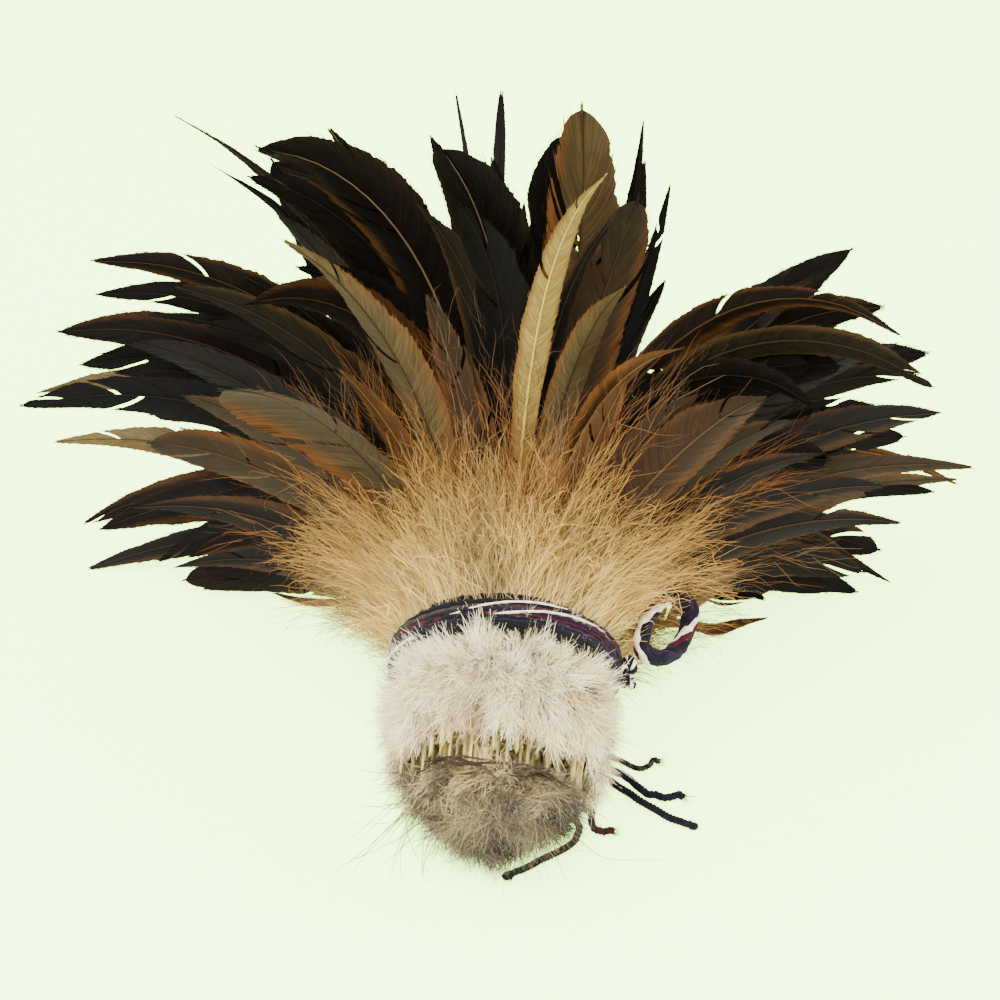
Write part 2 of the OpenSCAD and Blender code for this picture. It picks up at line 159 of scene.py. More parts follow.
class Piece:
    """Collects ribbons and tubes, then makes one object of them."""

    def __init__(self, name):
        self.name, self.v, self.f, self.c, self.uv, self.lines, self.n = name, [], [], [], [], [], 0

    def grid(self, p, colour, uv, lines=0.0):
        """Strips of quads: p is (strips, rows, columns, 3)."""
        b, k, m, _ = p.shape
        row = np.arange(b)[:, None, None] * k + np.arange(k - 1)[None, :, None]
        i = (row * m + np.arange(m - 1)[None, None, :]).ravel() + self.n
        self.f.append(np.stack([i, i + 1, i + m + 1, i + m], 1))
        self.v.append(p.reshape(-1, 3))
        self.c.append(np.broadcast_to(colour, p.shape).reshape(-1, 3))
        self.uv.append(np.broadcast_to(uv, p.shape[:-1] + (2,)).reshape(-1, 2))
        self.lines.append(np.broadcast_to(lines, p.shape[:-1] + (2,)).reshape(-1, 2))
        self.n += b * k * m

    def ribbons(self, p, side, half, colour, uv):
        """p (B,K,3) middles, side (B,K,3) the way across, half (B,K) widths, colour (B,K,3), uv (B,K,2)."""
        both = np.array([-1.0, 1.0])[None, None, :, None]
        q = p[:, :, None, :] + both * side[:, :, None, :] * half[:, :, None, None]
        self.grid(q, colour[:, :, None, :], uv[:, :, None, :])

    def tube(self, p, r, colour, uv=(0.5, 0.5), sides=6, closed=False):
        """p (K,3) a path, r (K,) radii, colour (K,3)."""
        k = len(p)
        r = np.broadcast_to(r, (k,))
        d = np.roll(p, -1, 0) - np.roll(p, 1, 0) if closed else np.gradient(p, axis=0)
        d = unit(d)
        n = np.zeros_like(p)
        a = np.cross(d[0], [0.3, 0.2, 0.9])
        for i in range(k):
            a = a - d[i] * (a @ d[i])
            a = a / max(np.linalg.norm(a), 1e-9)
            n[i] = a
        b = np.cross(d, n)
        t = np.linspace(0, 2 * math.pi, sides, endpoint=False)
        c, s = np.cos(t)[None, :, None], np.sin(t)[None, :, None]
        q = p[:, None] + r[:, None, None] * (c * n[:, None] + s * b[:, None])
        i = np.arange(k if closed else k - 1)[:, None]
        j = np.arange(sides)[None, :]
        i2, j2 = (i + 1) % k, (j + 1) % sides
        f = np.broadcast_arrays(i * sides + j, i * sides + j2, i2 * sides + j2, i2 * sides + j)
        self.f.append(np.stack(f, -1).reshape(-1, 4) + self.n)
        self.v.append(q.reshape(-1, 3))
        colour = np.broadcast_to(colour, (k, 3))
        self.c.append(np.repeat(colour, sides, 0))
        uv = np.asarray(uv, float)
        uv = np.broadcast_to(uv if uv.ndim == 2 else uv[None], (k, 2))
        self.uv.append(np.repeat(uv, sides, 0))
        self.lines.append(np.zeros((k * sides, 2)))
        first = self.n
        self.n += k * sides
        for e in () if closed else (0, k - 1):
            self.v.append(p[e][None])
            self.c.append(colour[e][None] * 0.6)
            self.uv.append(uv[e][None])
            self.lines.append(np.zeros((1, 2)))
            ring = first + e * sides + np.arange(sides)
            ends = np.roll(ring, -1), ring
            if e:
                ends = ends[::-1]
            self.f.append(np.stack([np.full(sides, self.n), ends[0], ends[1], ends[1]], 1))
            self.n += 1

    def make(self, material, bodies, replaced=()):
        """Makes the object in place of the CAD nodes it replaces: with one body it hangs from that body's
        empty, with two it is left unparented.
        """
        v = np.concatenate(self.v)
        v[:, 2] = np.maximum(v[:, 2], FLOOR_GAP)
        f = np.concatenate(self.f)
        tri = f[:, 2] == f[:, 3]
        quads, tris = f[~tri], f[tri][:, :3]
        me = bpy.data.meshes.new(self.name)
        me.vertices.add(len(v))
        me.vertices.foreach_set("co", (v / PER_METRE).astype(np.float32).ravel())
        loops = np.concatenate([quads.ravel(), tris.ravel()]).astype(np.int32)
        starts = np.concatenate([np.arange(len(quads)) * 4, len(quads) * 4 + np.arange(len(tris)) * 3])
        starts = starts.astype(np.int32)
        me.loops.add(len(loops))
        me.loops.foreach_set("vertex_index", loops)
        me.polygons.add(len(starts))
        me.polygons.foreach_set("loop_start", starts)
        me.update(calc_edges=True)
        me.polygons.foreach_set("use_smooth", np.ones(len(starts), bool))
        c = np.clip(np.concatenate(self.c), 0, 1)
        c = np.concatenate([c, np.ones((len(c), 1))], 1)
        col = me.attributes.new("tint", "FLOAT_COLOR", "POINT")
        col.data.foreach_set("color", c.astype(np.float32).ravel())
        uv = np.concatenate(self.uv)
        layer = me.uv_layers.new(name="OFBake")
        layer.data.foreach_set("uv", uv[loops].astype(np.float32).ravel())
        if max(np.abs(x).max() for x in self.lines) > 0:
            barbs = me.uv_layers.new(name="barbs")
            lines = np.concatenate(self.lines)[loops]
            barbs.data.foreach_set("uv", lines.astype(np.float32).ravel())
            me.uv_layers.active = me.uv_layers["OFBake"]
        me.validate()
        o = bpy.data.objects.new(self.name, me)
        bpy.context.scene.collection.objects.link(o)
        me.materials.append(material)
        if len(bodies) == 1:
            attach(o, bodies[0])
        else:
            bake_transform(o)
        if replaced:
            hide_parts(*replaced)


def resample(p, step=None, n=None):
    """A smooth path through p at even steps. Gives the points and their distance along it."""
    p = np.asarray(p, float)
    d = np.r_[0, np.cumsum(np.linalg.norm(np.diff(p, axis=0), axis=1))]
    n = n or max(3, int(round(d[-1] / step)) + 1)
    m = np.gradient(p, d, axis=0)
    q = np.linspace(0, d[-1], n)
    i = np.clip(np.searchsorted(d, q, side="right") - 1, 0, len(p) - 2)
    h = (d[i + 1] - d[i])[:, None]
    t = ((q - d[i]) / h[:, 0])[:, None]
    out = (2 * t**3 - 3 * t**2 + 1) * p[i] + (t**3 - 2 * t**2 + t) * h * m[i] \
        + (3 * t**2 - 2 * t**3) * p[i + 1] + (t**3 - t**2) * h * m[i + 1]
    return out, q


def at(x, xs, a):
    """a, known at xs, read at x: x may have any shape."""
    return np.stack([np.interp(x, xs, a[:, k]) for k in range(a.shape[1])], -1)


# ---------- materials ----------

def feed(node, **inputs):
    """Sets a shader node's inputs, each to a value or to a link, with _ for a space in their names."""
    for name, value in inputs.items():
        socket = node.inputs[name.replace("_", " ")]
        if isinstance(value, bpy.types.NodeSocket):
            node.id_data.links.new(value, socket)
        else:
            socket.default_value = value
    return node


def scaled(nt, colour, factor):
    """The colour times the factor."""
    mul = nt.nodes.new("ShaderNodeVectorMath")
    mul.operation = "SCALE"
    nt.links.new(colour, mul.inputs[0])
    return feed(mul, Scale=factor).outputs["Vector"]


def around_one(nt, value, amount, low=0.0, high=1.0):
    """The value, which lies between low and high, turned into a factor around one."""
    ramp = nt.nodes.new("ShaderNodeMapRange")
    feed(ramp, Value=value, From_Min=low, From_Max=high, To_Min=1 - amount, To_Max=1 + amount)
    return ramp.outputs["Result"]


def noise_at(nt, where, scale, detail):
    noise = nt.nodes.new("ShaderNodeTexNoise")
    return feed(noise, Vector=where, Scale=scale, Detail=detail).outputs["Fac"]


def bumped(nt, height, strength, distance):
    """Feeds a bump from the height to the material's normal."""
    bump = feed(nt.nodes.new("ShaderNodeBump"), Height=height, Strength=strength, Distance=distance)
    feed(nt.nodes["Principled BSDF"], Normal=bump.outputs["Normal"])


def principled(name, roughness, sheen=0, spec=0.5, bump=0, scale=900, vary=0.25, coat=0, plain=None):
    """A material coloured by the mesh's own tints, or by one plain colour, with a fine noise over it."""
    m = bpy.data.materials.new(name)
    m.use_nodes = True
    nt = m.node_tree
    b = nt.nodes["Principled BSDF"]
    feed(b, Roughness=roughness, Specular_IOR_Level=spec, Sheen_Weight=sheen, Sheen_Roughness=0.6)
    feed(b, Coat_Weight=coat, Coat_Roughness=0.3)
    if plain is None:
        tint = nt.nodes.new("ShaderNodeAttribute")
        tint.attribute_name = "tint"
        colour = tint.outputs["Color"]
    else:
        colour = nt.nodes.new("ShaderNodeRGB").outputs[0]
        colour.default_value = (*plain, 1)
    noise = noise_at(nt, nt.nodes.new("ShaderNodeTexCoord").outputs["Object"], scale, 4)
    feed(b, Base_Color=scaled(nt, colour, around_one(nt, noise, vary)))
    if bump:
        bumped(nt, noise, bump, 0.0003)
    return m


def barb_lines(m, strength, streaks):
    """Fine ridges along the barbs, two to a millimetre and a half, and streaks that follow them."""
    nt = m.node_tree
    base = nt.nodes["Principled BSDF"].inputs["Base Color"]
    barbs = nt.nodes.new("ShaderNodeUVMap")
    barbs.uv_map = "barbs"
    where = barbs.outputs["UV"]
    wave = nt.nodes.new("ShaderNodeTexWave")
    wave.wave_profile = "SIN"
    wave.bands_direction = "X"
    feed(wave, Vector=where, Scale=0.55, Distortion=0.6, Detail=1)
    bumped(nt, wave.outputs["Fac"], strength, 0.0001)
    squeeze = feed(nt.nodes.new("ShaderNodeMapping"), Vector=where, Scale=(0.9, 0.25, 1))
    factor = around_one(nt, noise_at(nt, squeeze.outputs["Vector"], 1.6, 3), streaks, 0.3, 0.7)
    nt.links.new(scaled(nt, base.links[0].from_socket, factor), base)
    return m


M_DARK = barb_lines(principled("dark_vane", 0.42, spec=0.05, vary=0.2, scale=300), 0.5, 0.4)
M_OLIVE = barb_lines(principled("olive_vane", 0.46, spec=0.12, vary=0.2, scale=300), 0.5, 0.4)
M_GINGER = barb_lines(principled("ginger_vane", 0.6, spec=0.12, vary=0.25, scale=300), 0.4, 0.2)
M_CROWN = principled("crown_barbs", 0.8, sheen=0.08, spec=0.08, vary=0.25, scale=160)
M_DOWN = principled("down", 0.95, sheen=0.25, spec=0.05, vary=0.2, scale=220)
M_QUILL = principled("horn_quill", 0.4, spec=0.5, bump=0.2, vary=0.2, scale=700, coat=0.1)
M_YARN = principled("yarn", 0.85, sheen=0.05, spec=0.08, bump=0.5, vary=0.3, scale=1500)
M_DRY = principled("dried_barbs", 0.7, spec=0.12, bump=0.3, vary=0.4, scale=900)


# ---------- barbs ----------

def drift(count, every, rng):
    """A value for each of count barbs, drawn once every so many barbs and blended in between."""
    knots = np.arange(0, count + every, every)
    return np.interp(np.arange(count), knots, rng.normal(0, 1, len(knots)))


def any_side(p, rng):
    """A random way across each path in p, shape (B,K,3)."""
    return unit(np.cross(unit(rng.normal(0, 1, (len(p), 1, 3))), unit(np.gradient(p, axis=1))))


def wander(p, rng):
    """The steps of a random walk along each path in p."""
    return np.cumsum(rng.normal(0, 1, p.shape), axis=1)


def tapered(q, fine, count):
    """Half widths of count fine barbs at shares q of their length."""
    return np.interp(q, [0, 0.6, 1], [fine, 0.8 * fine, 0.25 * fine])[None] * np.ones((count, 1))


UV_LANES = 97  # wisps and tufts share this many lanes of their piece's colour map


def barb_uv(u, v):
    """Places in the colour map, kept off its borders. u has one value for each barb."""
    return 0.05 + 0.9 * np.stack(np.broadcast_arrays(u[:, None], v), -1)


# ---------- feathers ----------

def stations(v):
    """Middles and half-width vectors of a CAD feather's nine sections, from root to tip."""
    n = len(v)
    d = np.linalg.norm(v[:, None] - v[None], axis=-1)
    d[np.tril_indices(n)] = 1e9
    used, edges = set(), []
    for k in np.argsort(d, axis=None):
        i, j = divmod(int(k), n)
        if i in used or j in used:
            continue
        used |= {i, j}
        edges.append((v[i] + v[j]) / 2)
        if len(edges) == n // 2:
            break
    e = np.array(edges)
    left = list(range(len(e)))
    here, mids, halves = MIDDLE, [], []
    near = np.linalg.norm(e - MIDDLE, axis=1)
    while left:
        left.sort(key=lambda k: np.linalg.norm(e[k] - here) if mids else near[k])
        a, b = left[:2]
        left = left[2:]
        h = (e[b] - e[a]) / 2
        if halves and h @ halves[-1] < 0:
            h = -h
        mids.append((e[a] + e[b]) / 2)
        halves.append(h)
        here = mids[-1]
    return np.array(mids), np.array(halves)


KINDS = {
    # kind: root, low, middle, tip, edge, shaft, how far the edge colour comes in
    "dark": ((66, 44, 20), (24, 15, 7), (11, 9, 5), (9, 7, 5), (20, 13, 7), (25, 19, 12), 0.2),
    "dark_blue": ((51, 36, 20), (18, 12, 8), (9, 8, 6), (8, 7, 5), (14, 10, 7), (21, 17, 12), 0.2),
    "dark_ginger": ((77, 50, 20), (39, 23, 10), (15, 10, 5), (11, 7, 5),
        (55, 34, 14), (47, 33, 17), 0.5),
    "dark_pale": ((66, 44, 20), (22, 15, 8), (13, 9, 6), (10, 8, 5), (31, 21, 11), (91, 75, 50), 0.3),
    "dark_olive": ((67, 46, 22), (28, 20, 10), (21, 17, 9), (18, 14, 8),
        (49, 35, 16), (38, 29, 18), 0.35),
    "olive": ((103, 66, 23), (63, 44, 19), (59, 45, 22), (58, 47, 25),
        (91, 54, 18), (44, 30, 15), 0.45),
    "olive_pale": ((103, 66, 23), (66, 49, 24), (69, 57, 32), (87, 71, 37),
        (87, 59, 26), (47, 35, 18), 0.4),
    "olive_dark": ((91, 59, 22), (49, 33, 13), (40, 29, 14), (33, 25, 13),
        (72, 44, 17), (58, 41, 21), 0.45),
    "ginger": ((148, 104, 24), (95, 63, 23), (67, 42, 18), (53, 34, 15),
        (90, 54, 20), (107, 74, 32), 0.5),
    "ginger_leaf": ((114, 73, 23), (76, 50, 21), (61, 40, 17), (65, 44, 19),
        (90, 55, 20), (111, 79, 34), 0.6),
    "brown": ((109, 75, 28), (65, 43, 19), (41, 26, 12), (30, 21, 10), (65, 39, 16), (73, 50, 27), 0.5),
    "cream": ((136, 94, 25), (115, 86, 37), (125, 105, 51), (133, 114, 55),
        (108, 77, 35), (177, 154, 69), 0.4),
}
PALETTE = {k: [*(srgb(*c) for c in v[:-1]), v[-1]] for k, v in KINDS.items()}
SHAPES = {
    # how fast the vane widens, where it starts to narrow, how it closes
    "lance": (0.5, 0.55, 1.5, 1.0),
    "leaf": (0.55, 0.62, 1.9, 0.8),
    "round": (0.6, 0.72, 2.2, 0.55),
    "sliver": (0.5, 0.5, 1.3, 1.1),
}


def outline(s, shape):
    rise, fall, power, close = SHAPES[shape]
    r = np.clip((s - 0.02) / rise, 0, 1)
    f = np.clip((s - fall) / (1 - fall), 0, 1)
    return (0.3 + 0.7 * r * r * (3 - 2 * r)) * (1 - f**power) ** close


def vane_colour(kind, s, q, rnd, strong):
    """Colour at share s of the length and share q of the half width."""
    root, low, mid, tip, edge, _, reach = PALETTE[kind]
    stops = np.array([0.0, 0.2, 0.4, 0.7, 1.0])
    table = np.stack([root, low, mid, mid, tip])
    c = np.stack([np.interp(s, stops, table[:, k]) for k in range(3)], -1)
    begin = 1 - reach * (1.0 if strong else 0.45)
    e = np.clip((q - begin) / 0.3, 0, 1)[..., None]
    e = e * np.clip((s - 0.1) / 0.2, 0, 1)[..., None] * np.clip((1.1 - s) / 0.3, 0, 1)[..., None]
    c = c * (1 - e) + edge * e
    return c * (1 + rnd)


class Atlas:
    """Gives each feather its own small cell of the piece's colour map."""

    def __init__(self, count):
        self.cols = max(1, int(math.ceil(math.sqrt(count * 4))))
        self.rows = max(1, int(math.ceil(count / self.cols)) + 1)
        self.k = 0

    def cell(self):
        i, j = self.k % self.cols, self.k // self.cols
        self.k += 1
        w, h = 1 / self.cols, 1 / self.rows
        return (i * w + 0.06 * w, j * h + 0.02 * h, 0.88 * w, 0.96 * h)


def cell_uv(cell, s, q, sgn):
    u = cell[0] + cell[2] * (0.5 + 0.5 * sgn * np.clip(q, 0, 1))
    return np.stack([u, cell[1] + cell[3] * np.clip(s, 0, 1)], -1)


VANE_FROM = 0.2  # share of a feather's length where its vane begins
VANE_TO = 0.995
DOWN_LENGTH = 11.0


def feather(piece, mids, halves, kind, cell, rng, gap, down, width, shape):
    """One feather: a tapered shaft, two arched vanes whose barbs part here and there, and down below."""
    fine, arc = resample(mids, n=90)
    length = arc[-1]
    hv = resample(halves, n=90)[0]
    hw = np.linalg.norm(halves, axis=1).max() * width * outline(arc / length, shape)
    tangent = unit(np.gradient(fine, axis=0))
    side = unit(hv - tangent * (hv * tangent).sum(1, keepdims=True))
    normal = np.cross(side, tangent)
    # the convex face of a feather looks away from the roll's axis
    outward = fine - (MIDDLE + AXIS * ((fine - MIDDLE) @ AXIS)[:, None])
    if (normal * (outward + np.array([0, 0, 25.0]))).sum() < 0:
        side, normal = -side, -normal
    camber = rng.uniform(0.25, 0.6)
    tone = rng.normal(0, 0.10)
    ripple = rng.uniform(0, 6.3, 4)[0]
    rich = rng.integers(0, 2) * 2 - 1
    for sgn in (-1.0, 1.0):
        count = max(12, int(length * (VANE_TO - VANE_FROM) / gap))
        i = np.arange(count)
        a = length * (VANE_FROM + (VANE_TO - VANE_FROM) * (i + 0.5) / count)
        s = a / length
        theta = np.radians(np.interp(s, [0, 0.3, 0.8, 1], [50, 40, 27, 16]))
        # the barbs cling together in sheets; each parting opens a narrow wedge from the edge inwards
        cuts = np.sort(rng.integers(4, count - 5, rng.integers(0, 4)))
        lean = 0.03 * drift(count, 12, rng)
        for x in cuts:
            off = i - x + 0.5
            lean = lean - np.sign(off) * rng.uniform(0.02, 0.11) * np.exp(-np.abs(off) / rng.uniform(2, 8))
        lean = lean + rng.normal(0, 0.008, count)
        theta = np.clip(theta * (1 + lean), 0.12, 1.2)
        tip = np.minimum(a + np.interp(a, arc, hw) / np.tan(theta), length)
        ragged = 0.035 * drift(count, 5, rng) + rng.normal(0, 0.02, count)
        out = np.interp(tip, arc, hw) * (1 + ragged) * sgn + sgn * 0.15
        streak = tone + 0.06 * drift(count, 4, rng) + rng.normal(0, 0.04, count)
        bend = rng.normal(0, 0.05, count)

        def barb(idx, q):
            """Points of the barbs idx at shares q of their length, with where they lie on the vane."""
            al = a[idx, None] + (tip - a)[idx, None] * q**1.15
            ac = out[idx, None] * (1.5 * q - 0.5 * q * q)
            w = np.maximum(np.abs(np.interp(al, arc, hw)), 0.8)
            lift = -0.6 * camber * ac**2 / np.interp(np.clip(al, 0, length), arc, np.maximum(hw, 2.5))
            lift = lift + 0.35 * np.sin(al * 0.12 + ripple + 2.2 * sgn) * q + bend[idx, None] * q
            over = np.maximum(al - length, 0)
            al = np.minimum(al, length)
            nv = at(al, arc, normal)
            p = at(al, arc, fine) + at(al, arc, side) * ac[..., None] + nv * lift[..., None]
            return p + tangent[-1] * over[..., None], al / length, np.clip(np.abs(ac) / w, 0, 1), nv

        q = np.linspace(0, 0.95, 7)[None, :]
        p, sv, qv, nv = barb(i, q)
        c = vane_colour(kind, sv, qv, streak[:, None, None], sgn == rich)
        uv = cell_uv(cell, sv, qv, sgn)
        lines = np.stack(np.broadcast_arrays(a[:, None], 3 * q), -1)
        bounds = [0, *sorted(set(int(x) for x in cuts if x > 2)), count]
        for b0, b1 in zip(bounds[:-1], bounds[1:]):
            if b1 - b0 > 1:
                piece.grid(p[None, b0:b1], c[None, b0:b1], uv[None, b0:b1], lines[None, b0:b1])
        # free barb ends along the edge, longer low on the feather
        m = np.flatnonzero(rng.random(count) < 0.6)
        if len(m):
            n = len(m)
            free = 1.03 + np.abs(rng.normal(0, 0.03, (n, 1)))
            free = free + 0.18 * np.clip(0.55 - s[m], 0, 1)[:, None] * rng.random((n, 1))
            share = np.linspace(0, 1, 4)
            p, sv, qv, nv = barb(m, 0.72 + (free - 0.72) * share[None, :])
            stray = rng.normal(0, 1, (n, 1, 3)) * (0.12 + 0.5 * np.clip(0.5 - s[m], 0, 1)[:, None, None])
            p = p + stray * share[None, :, None] ** 1.5
            rng.normal(0, 1, p.shape)  # not used: it keeps the draws after it in their order
            d = unit(np.gradient(p, axis=1))
            w = unit(np.cross(nv, d) + rng.normal(0, 0.3, (n, 1, 3)))
            half = np.interp(share, [0, 0.5, 1], [0.16, 0.11, 0.03])[None, :] * np.ones((n, 1))
            shade = (streak[m] + rng.normal(0, 0.1, n))[:, None, None]
            c = vane_colour(kind, sv, qv, shade, sgn == rich)
            piece.ribbons(p, w, half, c, cell_uv(cell, sv, qv, sgn))
    # long soft barbs near the root
    a = length * VANE_FROM * 1.6 * rng.random(down) ** 0.8
    sgn = np.where(rng.random(down) < 0.5, -1.0, 1.0)[:, None]
    q = np.linspace(0, 1, 7)[None, :]
    ln = DOWN_LENGTH * rng.uniform(0.5, 1.15, (down, 1)) * np.minimum(1, 0.45 + length / 160)
    ang = np.radians(rng.uniform(15, 55, (down, 1)))
    al = np.minimum(a[:, None] + ln * np.cos(ang) * q, length)
    ac = sgn * ln * np.sin(ang) * (1 - (1 - q) ** 1.5)
    lift = ln * rng.normal(0.12, 0.26, (down, 1)) * q**1.2
    lift = lift + 0.5 * np.sin(q * rng.uniform(4, 9, (down, 1)) + rng.uniform(0, 6.3, (down, 1))) * q
    p = at(al, arc, fine) + at(al, arc, side) * ac[..., None] + at(al, arc, normal) * lift[..., None]
    p = p + 0.4 * wander(p, rng) * q[..., None]
    w = any_side(p, rng)
    half = np.interp(q, [0, 0.5, 1], [0.10, 0.085, 0.03]) * np.ones((down, 1))
    c = down_colour(p, rng, kind)
    piece.ribbons(p, w, half, c, cell_uv(cell, al / length, 0.9 * q * np.ones_like(al), sgn))
    # shaft, from just under the tie to the tip
    root = fine[0] + to_row([0, 0, -9.0]) - MIDDLE
    path, pa = resample(np.concatenate([[root], fine[::4], fine[-1:]]), n=26)
    t = pa / pa[-1]
    r = np.interp(t, [0, 0.15, 0.7, 1], [0.62, 0.5, 0.22, 0.06]) * (0.75 if length < 80 else 1)
    path = path + at(np.clip(pa - (pa[-1] - length), 0, length), arc, normal) * 0.1
    col = PALETTE[kind][5] * (1 + tone)
    col = np.where(t[:, None] < 0.2, srgb(196, 168, 122)[None], col[None])
    piece.tube(path, r, col, cell_uv(cell, t, np.zeros_like(t), 1.0), sides=5)


FLUFF = np.stack([srgb(249, 230, 156), srgb(232, 198, 108), srgb(176, 136, 66),
                  srgb(120, 75, 24), srgb(78, 46, 19), srgb(51, 30, 13)])
TAUPE = srgb(108, 90, 62)


def fluff_colour(p, shift, grey, rng):
    """Cream at the tie, straw a little way up, ginger to brown further out, with grey-brown patches."""
    z = to_roll(p)[..., 2] + shift
    r = np.hypot(to_roll(p)[..., 0], to_roll(p)[..., 1])
    far = np.maximum(z, 0.8 * (r - 24))
    stops = [-4, 8, 22, 36, 54, 76]
    # soft patches of grey-brown, seen where one feather's down lies over the next
    patch = np.sin(p[..., 0] * 0.16 + 1.1) * np.sin(p[..., 1] * 0.14 + p[..., 0] * 0.07 + 0.4)
    patch = patch + 0.4 * np.sin(p[..., 2] * 0.2)
    grey = np.clip(grey + np.clip(patch - 0.25, 0, 0.6)[..., None], 0, 0.9)
    c = np.stack([np.interp(far, stops, FLUFF[:, k]) for k in range(3)], -1)
    return (c * (1 - grey) + TAUPE * grey) * (1 + rng.normal(0, 0.1, p.shape[:1] + (1, 1)))


def down_colour(p, rng, kind):
    n = p.shape[0]
    grey = np.clip(rng.normal(0.1, 0.3, (n, 1, 1)), 0, 0.8)
    return fluff_colour(p, rng.normal(8, 6, (n, 1)), grey, rng) * (0.8 if kind.startswith("dark") else 0.92)


def spread(mids, halves, rng):
    """A neighbour of a CAD feather: turned a little at its root, shorter, and bent its own way."""
    t = np.linspace(0, 1, len(mids))[:, None]
    k = unit(rng.normal(0, 1, 3))
    a = math.radians(rng.normal(0, 7))
    kk = np.array([[0, -k[2], k[1]], [k[2], 0, -k[0]], [-k[1], k[0], 0]])
    rot = np.eye(3) + math.sin(a) * kk + (1 - math.cos(a)) * kk @ kk
    size = rng.uniform(0.7, 0.97)
    root = mids[0] + ACROSS * rng.normal(0, 1.8) + DOWN * rng.normal(0, 1.8)
    new = (mids - mids[0]) @ rot.T * size + root
    new = new + (unit(rng.normal(0, 1, 3)) * rng.normal(0, 8)) * t**2
    low, high = CAD_LOW - 2, CAD_HIGH + 2
    low[2] = 0.9
    new = np.minimum(np.maximum(new, low), high)
    return new, halves @ rot.T * rng.uniform(0.85, 1.1)


TUFTS = {"left": -78.0, "upper_left": -36.0, "top": 3.0, "upper_right": 42.0, "right": 80.0}


def owner(deg):
    """The tuft nearest to a place round the roll, or None for the feathers on the table."""
    best = min(TUFTS, key=lambda k: abs(TUFTS[k] - deg))
    return best if abs(TUFTS[best] - deg) < 24 else None


FEATHER_NODES = sorted(n for n in NODES if n.endswith("_feathers"))
MATERIAL = {"dark": M_DARK, "olive": M_OLIVE, "ginger": M_GINGER}
FEATHER_CORNERS = 36  # nine sections of four corners
# the look of each CAD feather, in order of its tip from left to right: kind, shape, width
LOOK = {
    "left_dark":
        "dark_ginger leaf 1.1, dark_blue leaf 1.1, dark_ginger leaf 1, dark round 1, dark leaf 1,"
        " dark_olive leaf 1",
    "left_olive": "olive_pale lance 1.1, olive_pale lance 1.1, dark leaf 1",
    "left_ginger": "dark_ginger lance 0.9, olive_dark round 1.1, dark_ginger lance 0.8",
    "upper_left_dark":
        "dark_olive sliver 1.1, dark leaf 1.1, dark_blue round 1.1, dark_pale round 1.15,"
        " dark_pale leaf 1, dark_blue round 1",
    "upper_left_olive": "olive round 1.25, dark_olive leaf 1, olive_pale lance 1.05",
    "upper_left_ginger": "olive_dark leaf 1, brown leaf 1, ginger lance 0.8",
    "top_dark": "dark leaf 1, dark_olive sliver 1, dark_pale round 1.2, dark leaf 0.9, dark round 1.1,"
        " dark sliver 1.1",
    "top_olive": "olive round 1.1, cream sliver 0.8, cream lance 0.75, dark_ginger lance 1,"
        " olive_pale leaf 0.9, olive_dark round 1.1",
    "top_ginger": "brown leaf 1.1, brown lance 1, ginger leaf 1, ginger_leaf round 1.1",
    "upper_right_dark":
        "dark_ginger leaf 1, dark leaf 1.1, dark_ginger leaf 1.1, dark_ginger lance 1.1",
    "upper_right_olive": "brown lance 1, dark_ginger leaf 1, dark leaf 1",
    "upper_right_ginger": "brown leaf 1, olive_dark leaf 0.9, dark_ginger lance 1",
    "right_dark": "dark leaf 1.1, dark leaf 1.1, dark_olive leaf 1.1, dark_olive leaf 1",
    "right_olive": "dark_ginger leaf 1, olive lance 1.1, olive_dark lance 1",
    "right_ginger": "dark_ginger leaf 1, dark_ginger lance 1, ginger_leaf lance 1.1",
    "core_dark":
        "dark leaf 1.2, dark leaf 1.2, dark round 1.2, dark_olive leaf 1.2," + " dark leaf 1.2," * 2,
    "core_ginger": "brown leaf 1.3, " * 6,
    "ground_left_dark":
        "dark_ginger leaf 1, dark_ginger leaf 1, dark_olive round 1, dark leaf 1, dark leaf 1",
    "ground_left_ginger": "dark_ginger leaf 1.1, ginger lance 0.7, brown lance 0.8",
    "ground_right_dark":
        "dark leaf 1, dark leaf 1, dark leaf 1, dark_ginger round 1, dark_ginger lance 1",
    "ground_right_ginger": "ginger lance 0.8, ginger_leaf lance 0.9, dark_ginger lance 1",
}


def feather_plan(node, colour, rng):
    """The feathers to draw for a CAD node: its own, and two shorter neighbours beside each dark one."""
    found = [stations(v) for v, _ in solids(node) if len(v) == FEATHER_CORNERS]
    found.sort(key=lambda f: (round(f[0][-1][0], 1), round(f[0][-1][2], 1)))
    looks = [x.split() for x in LOOK[node.replace("_feathers", "")].strip(", ").split(", ")]
    neighbours = 2 if colour == "dark" and not node.startswith("core") else 0
    plan = []
    for (m, h), (kind, shape, wide) in zip(found, looks):
        plan.append((m, h, kind, shape, float(wide), 0.85))
        for _ in range(neighbours):
            m2, h2 = spread(m, h, rng)
            kind = str(rng.choice(["dark", "dark_blue", "dark_ginger", "dark_olive", "dark"]))
            shape = str(rng.choice(["leaf", "lance", "round"]))
            plan.append((m2, h2, kind, shape, rng.uniform(0.7, 1.05), 1.2))
    return plan


for seed, node in enumerate(FEATHER_NODES):
    rng = np.random.default_rng(1000 + seed)
    colour = [c for c in MATERIAL if f"_{c}_" in node][0]
    plan = feather_plan(node, colour, rng)
    piece = Piece(node.replace("_feathers", "_plumes"))
    atlas = Atlas(len(plan))
    for m, h, kind, shape, wide, gap in plan:
        feather(piece, m, h, kind, atlas.cell(), rng, gap, 60, wide, shape)
    tuft = BODY.get(node, "bundle").replace("_tuft", "")
    if tuft in TUFTS:
        bodies = ("bundle", tuft + "_tuft")
        piece.make(MATERIAL[colour], bodies, (node,))
    else:
        piece.make(MATERIAL[colour], ("bundle",), (node,))


# ---------- the crown of loose ginger feathers round the tie ----------

